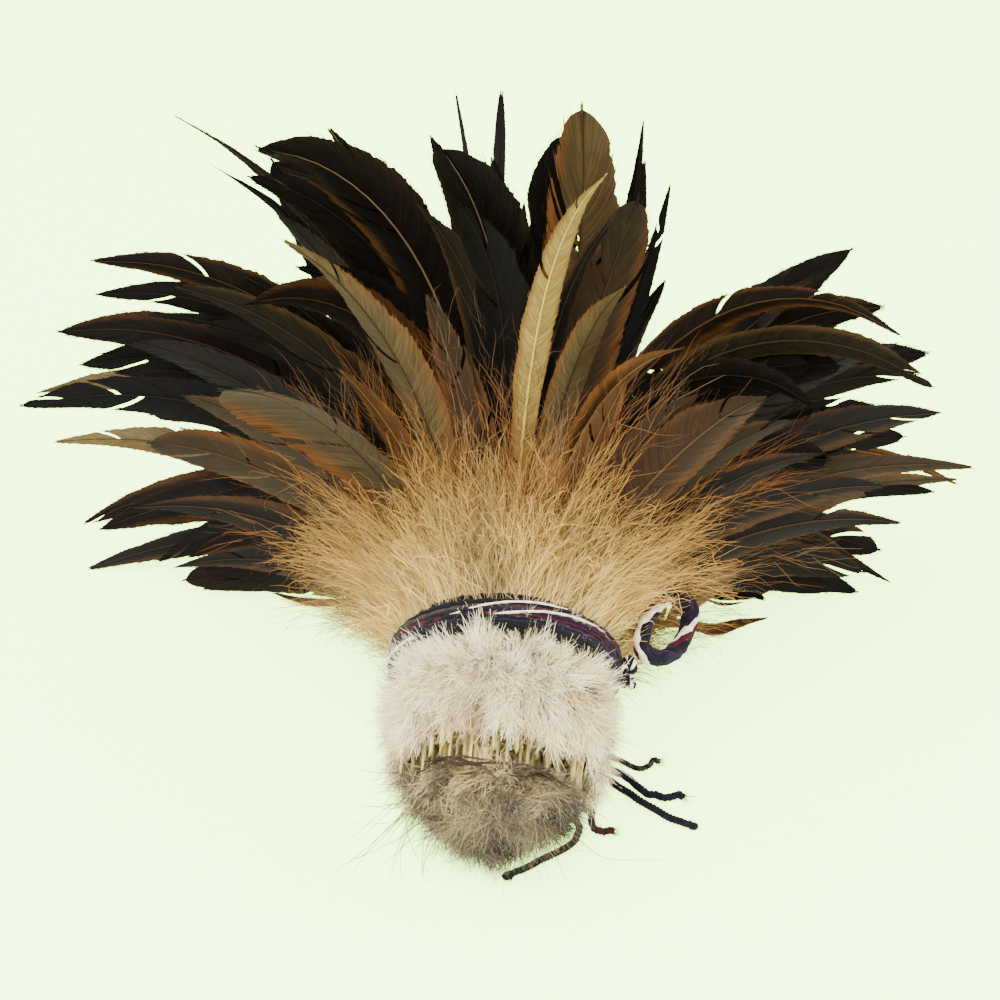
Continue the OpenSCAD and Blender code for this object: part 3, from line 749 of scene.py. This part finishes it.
def crown_path(deg, r0, length, rng, fans, n=10):
    """The middle line of a loose wisp that leaves the band and fans out. One row for each wisp."""
    b = len(deg)
    fan0 = rng.uniform(*fans[:2], b)
    fan1 = rng.uniform(*fans[2:], b)
    sweep = rng.normal(0, 17, b)
    p = [clock(deg) * r0[:, None] + UP]
    for i in range(n):
        s = (i + 0.5) / n
        fan = np.radians(fan0 + (fan1 - fan0) * s)[:, None]
        step = clock(deg + sweep * s * s) * np.sin(fan) + UP * np.cos(fan)
        p.append(p[-1] + (length / n)[:, None] * step)
    p = to_row(np.stack(p, 1))
    p[..., 2] = np.maximum(p[..., 2], 0.8 + 4 * np.linspace(0, 1, n + 1))
    return p


LOOP_MIDDLE = box_middle("tie_loop")
LOOP_CLEAR = 13  # the loop hangs clear of the down by this much round its middle


def wisps(piece, deg, rng, each, reach, fine, outside=24.4, depth=7, fans=(12, 40, 48, 98)):
    """Loose barbs in wisps: each barb leaves its wisp's middle line and bends along with it."""
    b = len(deg)
    length = rng.uniform(*reach, b)
    path = crown_path(deg, outside - depth * rng.random(b) ** 2, length, rng, fans)
    n = path.shape[1]
    shift = rng.normal(0, 7, b)
    grey = np.clip(rng.normal(-0.25, 0.4, b), -0.4, 0.7)
    tone = 1 + rng.normal(0, 0.14, b)
    w = np.repeat(np.arange(b), each)
    m = len(w)
    s = rng.uniform(0, 0.86, m) ** 0.9
    ln = rng.uniform(8, 17, m) * (0.7 + 0.6 * s)
    q = np.linspace(0, 1, 6)
    along = np.clip(s[:, None] + ln[:, None] / length[w, None] * q[None, :] * 0.9, 0, 1) * (n - 1)
    i = np.minimum(along.astype(int), n - 2)
    f = (along - i)[..., None]
    p = path[w[:, None], i] * (1 - f) + path[w[:, None], i + 1] * f
    off = unit(rng.normal(0, 1, (m, 3))) * (ln * np.abs(rng.normal(0.26, 0.17, m)))[:, None]
    p = p + rng.normal(0, 1.1, (m, 1, 3)) + off[:, None] * (1 - (1 - q) ** 1.6)[None, :, None]
    p = p + 0.045 * ln[:, None, None] * wander(p, rng) * q[None, :, None]
    p[..., 2] = np.maximum(p[..., 2], 0.3)
    clear = np.linalg.norm(p - LOOP_MIDDLE, axis=-1).min(1) > LOOP_CLEAR
    p, w, along = p[clear], w[clear], along[clear]
    side = any_side(p, rng)
    c = fluff_colour(p, shift[w, None], grey[w, None, None], rng) * tone[w, None, None]
    # painted shade and light: each barb is darker at its root and a little lighter at its tip
    c = c * np.interp(q, [0, 0.5, 1], [0.72, 0.95, 1.08])[None, :, None]
    uv = barb_uv((w % UV_LANES) / UV_LANES, np.clip(along / (n - 1), 0, 1))
    piece.ribbons(p, side, tapered(q, fine, len(p)), c, uv)


rng = np.random.default_rng(77)
WISPS = 800
groups = {}
for i in range(WISPS):
    deg = -180 + 360 * (i + rng.uniform(0, 1)) / WISPS
    # fewer underneath
    if abs(deg) > 115 and rng.random() < 0.5:
        continue
    key = owner(deg) or ("table_left" if deg < 0 else "table_right")
    groups.setdefault(key, []).append(deg)
for key, members in groups.items():
    piece = Piece(key + "_crown")
    deg = np.array(members)
    table = key.startswith("table")
    wisps(piece, deg, rng, 36, (16, 46), 0.07)
    wisps(piece, deg[::3], rng, 40, (30, 52) if table else (40, 84), 0.06)
    if table:
        piece.make(M_CROWN, ("bundle",))
    else:
        piece.make(M_CROWN, ("bundle", key + "_tuft"), ())
# the loose barbs inside the roll, which fill the middle of the fan
rng = np.random.default_rng(78)
middle = Piece("core_crown")
deg = rng.uniform(-180, 180, 170)
wisps(middle, deg, rng, 36, (22, 58), 0.08, outside=21, depth=19, fans=(0, 20, 10, 60))
middle.make(M_CROWN, ("bundle",))


# ---------- down on the roll ----------

def strands(piece, start, heading, length, wave, half, colour, rng):
    """Thin curved barbs: start (B,3), heading (B,3), length (B,), colour (B,6,3)."""
    b = len(start)
    q = np.linspace(0, 1, 6)[None, :, None]
    bend = unit(rng.normal(0, 1, (b, 1, 3))) * wave
    ln = length[:, None, None]
    p = start[:, None] + heading[:, None] * ln * q + bend * ln * q**2
    p = p + 0.07 * ln * wander(p, rng) * q
    side = any_side(p, rng)
    hw = half * np.interp(q[..., 0], [0, 0.5, 1], [1, 0.8, 0.3]) * np.ones((b, 1))
    c = colour * (1 + rng.normal(0, 0.1, (b, 1, 1)))
    piece.ribbons(p, side, hw, c, barb_uv(rng.random((b, 1))[:, 0], 0.5 + 0.5 * q[..., 0]))


def tufts(piece, root, way, reach, tones, rng, each, spread_r, fan, fine, curl=0.06):
    """Small tufts of down: each has a root, a direction and a tone, and its strands fan out from there."""
    b = len(root)
    w = np.repeat(np.arange(b), each)
    m = len(w)
    start = root[w] + rng.normal(0, 1, (m, 3)) * spread_r
    head = unit(way[w] + rng.normal(0, fan, (m, 3)))
    ln = (reach[w] * rng.uniform(0.55, 1.15, m))[:, None, None]
    q = np.linspace(0, 1, 5)
    qq = q[None, :, None]
    bend = unit(rng.normal(0, 1, (b, 3)))[w] * 0.35 + rng.normal(0, 0.16, (m, 3))
    p = start[:, None] + ln * (head[:, None] * qq + bend[:, None] * qq**2)
    p = to_row(p + curl * ln * wander(p, rng) * qq)
    side = any_side(p, rng)
    # painted shade and light: each strand is darker at its root and a little lighter at its tip
    c = tones[w, None] * np.interp(qq, [0, 0.4, 1], [0.7, 0.98, 1.06])
    c = c * (1 + rng.normal(0, 0.08, (m, 1, 1)))
    piece.ribbons(p, side, tapered(q, fine, m), c, barb_uv((w % UV_LANES) / UV_LANES, q[None]))


def pick(colours, weights, n, rng):
    """n of the colours, by weight, each a little lighter or darker."""
    which = rng.choice(len(colours), n, p=np.array(weights) / sum(weights))
    return np.array(colours)[which] * (1 + rng.normal(0, 0.07, (n, 1)))


# white, rose, straw and tan
SKIRT_TONES = [srgb(250, 240, 202), srgb(247, 229, 192), srgb(243, 224, 164), srgb(170, 145, 102)]
SKIRT_R = 24.6  # where the skirt's tufts grow from
rng = np.random.default_rng(5)


def skirt_tufts(name, n, deg0, deg1, upper):
    """Down on the roll's side: short and bushy under the yarn, longer and hanging lower down."""
    piece = Piece(name)
    o = clock(rng.uniform(deg0, deg1, n))
    if upper:
        z = -8.6 - 13 * rng.random(n) ** 1.2
        up = np.interp(z, [-20, -13, -8], [-0.9, 0.0, 0.7]) + rng.normal(0, 0.2, n)
        way = o * rng.uniform(0.6, 0.95, (n, 1)) + along_axis(up) + rng.normal(0, 0.16, (n, 3))
        reach = rng.uniform(3.8, 6.4, n)
        weights, across, fan = [5, 3, 2.6, 1.5], np.array([0.9, 0.9, 0.9]), 0.2
    else:
        z = rng.uniform(-29, -13, n)
        way = o * rng.uniform(0.15, 0.5, (n, 1)) - UP + rng.normal(0, 0.12, (n, 3))
        reach = np.minimum(rng.uniform(4, 8.5, n), 35.5 + z - rng.uniform(0, 5, n)).clip(2)
        weights, across, fan = [4, 2.4, 3, 2.2], np.array([0.6, 0.6, 1.6]), 0.14
    root = o * SKIRT_R + along_axis(z)
    tones = pick(SKIRT_TONES, weights, n, rng)
    tufts(piece, root, unit(way), reach, tones, rng, 52, across, fan, 0.09)
    piece.make(M_DOWN, ("bundle",))


skirt_tufts("skirt_down_upper", 430, -180, 180, True)
skirt_tufts("skirt_down_left", 215, -180, 0, False)
skirt_tufts("skirt_down_right", 215, 0, 180, False)

heart = Piece("heart_down")
n = 310
ca = rng.uniform(0, 2 * math.pi, n)
cr = 19.5 * np.sqrt(rng.random(n))
root = np.stack([cr * np.cos(ca), cr * np.sin(ca), -36.5 - (21 - cr) * 0.74 + rng.normal(0, 1.0, n)], -1)
way = unit(root * [0.03, 0.03, 0] + [0, 0, -0.5] + rng.normal(0, 0.6, (n, 3)))
tones = [(199, 178, 125), (107, 94, 68), (68, 57, 36), (33, 27, 20), (143, 125, 82)]
tone = pick([srgb(*c) for c in tones], [4, 4, 2.6, 1.8, 3], n, rng)
# painted shade: the heart's down is darkened towards its lower right and the deeper it lies in the roll, so
# its lower right and its middle are the darkest
tone = tone * np.clip(1.0 - 0.022 * (root[:, :1] + 1.2 * root[:, 1:2] + 8), 0.3, 1)
tone = tone * np.clip(1.0 + 0.09 * (root[:, 2:] + 42), 0.3, 1) * np.array([1.0, 1.0, 0.95])
across = np.array([1.1, 1.1, 0.8])
tufts(heart, root, way, rng.uniform(2.8, 6.8, n), tone, rng, 76, across, 0.35, 0.065, curl=0.14)
heart.make(M_DOWN, ("bundle",))


# ---------- cut quills ----------

# painted shade: the inside of each cut quill's hollow is coloured near black
HOLLOW_SHADE = srgb(33, 27, 19)
quills = Piece("cut_quills")
rng = np.random.default_rng(11)
turns = [n for n in NODES if n.startswith("quills_turn_")]
for n in sorted(turns):
    for v, _ in solids(n):
        r = to_roll(v)
        c = (r.min(0) + r.max(0)) / 2
        z0, z1 = r[:, 2].min(), r[:, 2].max()
        # cut at uneven lengths
        a = np.array([c[0], c[1], z0 + rng.choice([0.0, 1.6, 3.4, 6.0]) + rng.uniform(-0.2, 1.6)])
        b = np.array([c[0], c[1], z1])
        a[:2] += rng.normal(0, 0.5, 2)
        k = 7
        p = a + (b - a) * np.linspace(0, 1, k)[:, None]
        p[:, :2] += rng.normal(0, 0.1, 2) * np.sin(np.linspace(0, 3.14, k))[:, None]
        w = rng.uniform(0.34, 0.72)
        tone = srgb(205, 183, 104) * rng.choice([1.0, 0.9, 0.66, 0.4]) * [1, 1, rng.uniform(0.82, 1.1)]
        # outer wall, rim and the hollow in one skin
        t = np.linspace(0, 2 * math.pi, 9)
        ring = np.stack([np.cos(t), np.sin(t), 0 * t], -1)
        slant = rng.normal(0, 0.35, 2)
        rows = []
        for j in range(k - 1, -1, -1):
            rows.append(p[j] + ring * w * (0.82 + 0.18 * min(1, j / 3)))
        rows.append(p[0] + ring * w * 0.6)
        rows.append(p[0] + [0, 0, 2.6] + ring * w * 0.5)
        rows.append(p[0] + [0, 0, 2.7] + ring * 0.02)
        rows = np.array(rows)
        rows[-4:-2, :, 2] += (ring[:, 0] * slant[0] + ring[:, 1] * slant[1])[None]
        col = np.tile(tone, (len(rows), 9, 1))
        # painted shade down the inner wall of the hollow
        col[-2:] = HOLLOW_SHADE
        quills.grid(to_row(rows)[None], col[None], np.full((1, len(rows), 9, 2), 0.5))
quills.make(M_QUILL, ("bundle",), tuple(turns))


# ---------- yarn ----------

YARN = {
    "navy": srgb(18, 14, 28), "white": srgb(239, 216, 191), "maroon": srgb(59, 15, 25),
    "olive": srgb(50, 43, 33), "pink": srgb(173, 94, 165), "black": srgb(13, 11, 16),
    "purple": srgb(32, 16, 34),
}


def plied(piece, path, r, names, rng, pitch=4.5, closed=False, fuzz=8.0):
    """Yarn: a few plies twisted round a path, with short loose fibres, fuzz of them to a millimetre."""
    colours = [YARN[name] for name in names]
    n = len(colours)
    d = unit(np.roll(path, -1, 0) - np.roll(path, 1, 0)) if closed else unit(np.gradient(path, axis=0))
    seg = np.r_[0, np.cumsum(np.linalg.norm(np.diff(path, axis=0), axis=1))]
    total = seg[-1] + (np.linalg.norm(path[0] - path[-1]) if closed else 0)
    turns = max(1, round(total / pitch))
    a = unit(np.cross(d, [0.13, 0.27, 0.95]))
    b = np.cross(d, a)
    off, thick = (0.5, 0.56) if n > 1 else (0.0, 1.0)
    for i, c in enumerate(colours):
        ph = 2 * math.pi * (turns * seg / total + i / n)
        q = path + off * r * (np.cos(ph)[:, None] * a + np.sin(ph)[:, None] * b)
        uneven = r * thick * (1 + 0.15 * np.sin(seg * 1.3 + i * 2))
        c = c * (1 + 0.2 * np.sin(seg * 2.1 + i)[:, None])
        piece.tube(q, uneven, c, (0.1 + 0.8 * i / n, 0.5), closed=closed)
    m = int(total * fuzz)
    i = rng.integers(0, len(path), m)
    h = unit(rng.normal(0, 1, (m, 3)) + d[i] * 1.2)
    c = np.array(colours)[rng.integers(0, n, m)][:, None, :] * np.ones((m, 6, 3))
    strands(piece, path[i] + h * r * 0.6, h, rng.uniform(0.6, 2.0, m), 0.5, 0.03, c, rng)


def ring_middle(v):
    """How far a yarn ring's middle line is from the roll's axis, and its place along it."""
    r = to_roll(v)
    rad = np.hypot(r[:, 0], r[:, 1])
    return (rad.min() + rad.max()) / 2, (r[:, 2].min() + r[:, 2].max()) / 2


rng = np.random.default_rng(21)
# the yarns laid side by side in each ring of a CAD node
STRANDS = {
    "yarn_navy": ["navy black navy purple", "navy black olive black", "black navy purple navy"],
    "yarn_white": ["white black olive navy", "black white navy black"],
    "yarn_maroon": ["maroon navy maroon purple", "black maroon navy maroon"],
    "yarn_olive": ["olive black olive navy"],
    "yarn_pink": ["pink black navy white"],
}
WHITE_R = 28.35  # the white strands lie over the others
along = to_roll(np.concatenate([v for n in STRANDS for v, _ in solids(n)]))[:, 2]
lo, hi = along.min(), along.max()
for node, sets in STRANDS.items():
    piece = Piece("tie_" + node)
    for i, (v, _) in enumerate(solids(node)):
        rad, z = ring_middle(v)
        t = np.linspace(0, 360, 300, endpoint=False)
        a = np.radians(t)
        ph = rng.uniform(0, 6.3)
        lay = 0.7 * np.sin(a + ph) + 0.5 * np.sin(2 * a + 2.1 * ph)
        for j, name in enumerate(sets[i % len(sets)].split()):
            # thin strands lie side by side and change places now and then
            turn = 0.5 * math.pi * j + 1.1 * np.sin(a + ph) + 0.7 * np.sin(2 * a + j)
            thin = 0.27 if name in ("white", "pink") else 0.66
            zz = z + lay + 0.78 * np.cos(turn) + 0.06 * rng.normal(0, 1, len(t))
            rr = rad + 0.2 * np.sin(2 * a + ph) + 0.5 * np.sin(turn) + 0.25
            if name == "white":
                # the white strands wander slantwise across the whole band
                zz = (lo + hi) / 2 + 0.36 * (hi - lo) * np.sin(a + 0.5 * i - 0.25)
                zz = zz + 0.5 * np.sin(3 * a + ph) + 0.5 * i
                rr = WHITE_R + 0.75 * np.sin(3 * a + ph)
            path = to_row(clock(t) * rr[:, None] + along_axis(np.clip(zz, lo, hi)))
            plied(piece, path, thin, [name], rng, closed=True, fuzz=2.5)
    piece.make(M_YARN, ("bundle",), (node,))


def cord_path(node):
    """The middle line of an open CAD cord: its corners gathered by their distance along the skin."""
    v, t = solids(node)[0]
    e = np.unique(np.sort(np.concatenate([t[:, [0, 1]], t[:, [1, 2]], t[:, [2, 0]]]), axis=1), axis=0)
    w = np.linalg.norm(v[e[:, 0]] - v[e[:, 1]], axis=1)
    start = np.argmax(np.linalg.norm(v - v.mean(0), axis=1))
    far = np.linalg.norm(v - v[start], axis=1)
    cap = far < 0.1 + 1.8 * np.sort(far)[4]
    d = np.where(cap, 0.0, 1e9)
    for _ in range(400):
        new = d.copy()
        np.minimum.at(new, e[:, 0], d[e[:, 1]] + w)
        np.minimum.at(new, e[:, 1], d[e[:, 0]] + w)
        if np.allclose(new, d):
            break
        d = new
    order = np.argsort(d)
    p = np.array([v[order[i:i + 8]].mean(0) for i in range(0, len(order) - 7, 8)])
    keep = [0]
    for i in range(1, len(p)):
        if np.linalg.norm(p[i] - p[keep[-1]]) > 1.0:
            keep.append(i)
    return resample(p[keep], step=0.5)[0]


def closed_path(node, n):
    """The middle line of a closed CAD cord that rings its own middle, as about n points."""
    v, _ = solids(node)[0]
    c = v.mean(0)
    w = np.linalg.svd(v - c, full_matrices=False)[2]
    x, y = (v - c) @ w[0], (v - c) @ w[1]
    a = np.arctan2(y, x)
    pts = []
    m = 18
    for k in range(m):
        mid = -math.pi + 2 * math.pi * (k + 0.5) / m
        near = np.abs((a - mid + math.pi) % (2 * math.pi) - math.pi) < math.pi / m * 1.6
        if near.sum() > 3:
            q = v[near]
            pts.append((q.min(0) + q.max(0)) / 2)
    pts = np.array(pts)
    pts = np.concatenate([pts[-2:], pts, pts[:3]])
    p = resample(pts, n=int(n * 1.25))[0]
    # drop the overlap
    i0 = np.argmin(np.linalg.norm(p - pts[2], axis=1))
    i1 = len(p) // 2 + np.argmin(np.linalg.norm(p[len(p) // 2:] - pts[-3], axis=1))
    return p[i0:i1]


TAIL_END_FIBRES = 40
for node, names, r, body, slot in (
        ("tail_black_long", ["black", "navy", "black"], 1.05, "side_tails", "yarn_navy"),
        ("tail_navy", ["navy", "navy", "black"], 1.05, "side_tails", "yarn_navy"),
        ("tail_olive", ["olive", "black", "olive"], 0.8, "side_tails", "yarn_olive"),
        ("tail_black_front", ["black", "black", "navy"], 1.0, "front_tails", "yarn_navy"),
        ("tail_maroon", ["maroon", "maroon", "purple"], 1.0, "front_tails", "yarn_maroon")):
    piece = Piece(node + "_yarn")
    path = cord_path(node)
    plied(piece, path, r, names, rng, pitch=3.2)
    for e in (path[0], path[-1]):
        n = TAIL_END_FIBRES
        h = unit(rng.normal(0, 1, (n, 3)) + unit(e - path.mean(0)) * 1.6)
        start, ln = e + rng.normal(0, 0.4, (n, 3)), rng.uniform(1, 3, n)
        c = np.array([YARN[name] for name in names])[rng.integers(0, 3, n)][:, None] * np.ones((n, 6, 3))
        strands(piece, start, h, ln, 0.4, 0.06, c, rng)
    piece.make(M_YARN, (body,), (node,))

loop = Piece("hanging_loop_yarn")
names = ["navy", "white", "maroon", "black", "purple", "navy"]
plied(loop, closed_path("tie_loop", 160), 2.15, names, rng, pitch=24, closed=True)
loop.make(M_YARN, ("hanging_loop",), ("tie_loop",))

# the knot is a trefoil seen from outside the roll
knot = Piece("tie_knot_yarn")
knot_middle = box_middle("tie_knot")
outward = to_row(unit(to_roll(knot_middle) * [1, 1, 0])) - MIDDLE
sideways = unit(np.cross(AXIS, outward))
t = np.linspace(0, 2 * math.pi, 140, endpoint=False)[:, None]
rr = 2.6 + 1.25 * np.cos(3 * t)
p = knot_middle + rr * np.cos(2 * t) * sideways + rr * np.sin(2 * t) * AXIS + 1.25 * np.sin(3 * t) * outward
plied(knot, p, 0.95, ["navy", "white", "black"], rng, pitch=4, closed=True)
knot.make(M_YARN, ("bundle",), ("tie_knot",))


# ---------- dried strips, hairs ----------

strips = Piece("dried_strips")
rng = np.random.default_rng(31)
for v, _ in solids("curled_barb_strips"):
    r = to_roll(v)
    a = np.degrees(np.arctan2(r[:, 0], -r[:, 1]))
    a = (a - a[0] + 180) % 360 - 180 + a[0]
    a0, a1 = a.min(), a.max()
    rad = np.hypot(r[:, 0], r[:, 1]).mean()
    z = r[:, 2].mean()
    for i in range(4):
        t = np.linspace(a0 + rng.normal(0, 5), a1 + rng.normal(0, 8), 24)
        s = np.linspace(-1, 1, 24)
        rr = rad + rng.normal(0, 0.6) + 1.2 * s**2 * rng.uniform(0, 1.5)
        zz = z + rng.normal(0, 1.0) - rng.uniform(0, 2.5) * s**2 + rng.normal(0, 1.6) * s
        p = to_row(clock(t) * rr[:, None] + along_axis(zz + 0.5 * np.sin(5 * s + i)))
        w = unit(np.cross(np.gradient(p, axis=0), to_row(clock(t)) - MIDDLE + rng.normal(0, 0.4, 3)))
        half = rng.uniform(0.15, 0.55) * (1 - s**2) ** 0.5 + 0.03
        c = srgb(58, 43, 30) * rng.uniform(0.5, 1.5) * np.ones((1, 24, 3))
        strips.ribbons(p[None], w[None], half[None], c, np.full((1, 24, 2), 0.5))
strips.make(M_DRY, ("bundle",), ("curled_barb_strips",))

hairs = Piece("stray_hairs")
rng = np.random.default_rng(41)
n = 70
deg = np.where(rng.random(n) < 0.75, rng.uniform(-150, -75, n), rng.uniform(75, 215, n))
root = clock(deg) * rng.uniform(15, 23, (n, 1)) + along_axis(rng.uniform(-40, -30, n))
way = unit(clock(deg) * 0.9 + np.array([0, 0.2, -0.75]) + rng.normal(0, 0.35, (n, 3)))
ln = rng.uniform(8, 24, n)[:, None, None]
q = np.linspace(0, 1, 14)
qq = q[None, :, None]
bend = rng.normal(0, 0.35, (n, 1, 3))
p = to_row(root[:, None] + ln * (way[:, None] * qq + bend * qq**2))
# a hair that reaches the table lies along it, and none goes more than 9 mm past the box's low sides
p[..., 2] = 0.5 + 2 * np.logaddexp(0, (p[..., 2] - 1) / 2)
p = np.maximum(p, CAD_LOW - 9)
shade = pick([srgb(24, 19, 16), srgb(105, 84, 48)], [3, 1], n, rng)
for i in range(n):
    hairs.tube(p[i], np.interp(q, [0, 0.7, 1], [0.11, 0.08, 0.03]), shade[i], sides=4)
hairs.make(M_DRY, ("bundle",))

for n in ("stringing_thread_rear", "stringing_thread_front"):
    colour = srgb(193, 173, 122)
    NODES[n].data.materials.clear()
    NODES[n].data.materials.append(
        principled("thread_" + n, 0.8, sheen=0.2, spec=0.2, bump=0.6, scale=2500, plain=colour))


# ---------- stage ----------

CARD = (*srgb(232, 242, 220), 1)
CARD_SEEN = (0.6, 0.93, 0.32, 1)
CARD_GLOW = (3.4, 5.9, 1.45, 1)
HALF_CARD, CARD_Z = 6, -0.0002  # metres
card_m = bpy.data.materials.new("pale_green_card")
card_m.use_nodes = True
nt = card_m.node_tree
# the card glows a little to the camera only, as an evenly lit backdrop does; it lights nothing
seen = nt.nodes.new("ShaderNodeLightPath").outputs["Is Camera Ray"]
card = nt.nodes.new("ShaderNodeMix")
card.data_type = "RGBA"
tint = feed(card, Factor=seen, A=CARD, B=CARD_SEEN).outputs["Result"]
feed(nt.nodes["Principled BSDF"], Base_Color=tint, Roughness=0.9, Specular_IOR_Level=0.1,
    Emission_Strength=seen, Emission_Color=CARD_GLOW)
me = bpy.data.meshes.new("floor")
corners = [(x * HALF_CARD, y * HALF_CARD, CARD_Z) for x, y in ((-1, -1), (1, -1), (1, 1), (-1, 1))]
me.from_pydata(corners, [], [(0, 1, 2, 3)])
me.materials.append(card_m)
floor = bpy.data.objects.new("floor", me)
bpy.context.scene.collection.objects.link(floor)

world = bpy.data.worlds.new("soft")
bpy.context.scene.world = world
world.use_nodes = True
world.node_tree.nodes["Background"].inputs[0].default_value = (1.0, 1.0, 0.99, 1)
world.node_tree.nodes["Background"].inputs[1].default_value = 1.75


def area(name, loc, power):
    """A soft light 1.2 m across, aimed at the bundle."""
    lamp = bpy.data.lights.new(name, "AREA")
    lamp.energy, lamp.size = power, 1.2
    o = bpy.data.objects.new(name, lamp)
    o.location = loc
    o.rotation_euler = (Vector((0, 0, 0.05)) - Vector(loc)).to_track_quat("-Z", "Y").to_euler()
    bpy.context.scene.collection.objects.link(o)


area("key", (-0.5, -0.6, 1.3), 60)
area("fill", (0.9, -0.4, 1.0), 20)

cam_d = bpy.data.cameras.new("camera")
cam_d.lens = 115.2
cam_d.sensor_width = 36
cam = bpy.data.objects.new("camera", cam_d)
bpy.context.scene.collection.objects.link(cam)
bpy.context.scene.camera = cam
el, az = math.radians(42), math.radians(4.7)
back = Vector((math.sin(az) * math.cos(el), -math.cos(az) * math.cos(el), math.sin(el)))
cam.location = Vector(MIDDLE / PER_METRE) + back * 0.8
cam.rotation_mode = "QUATERNION"
# turned a little off the tie, so that the whole fan is in the frame
aside = Euler((math.radians(2.9), math.radians(0.09), 0)).to_quaternion()
cam.rotation_quaternion = (-back).to_track_quat("-Z", "Y") @ aside
cam_d.clip_start, cam_d.clip_end = 0.05, 20
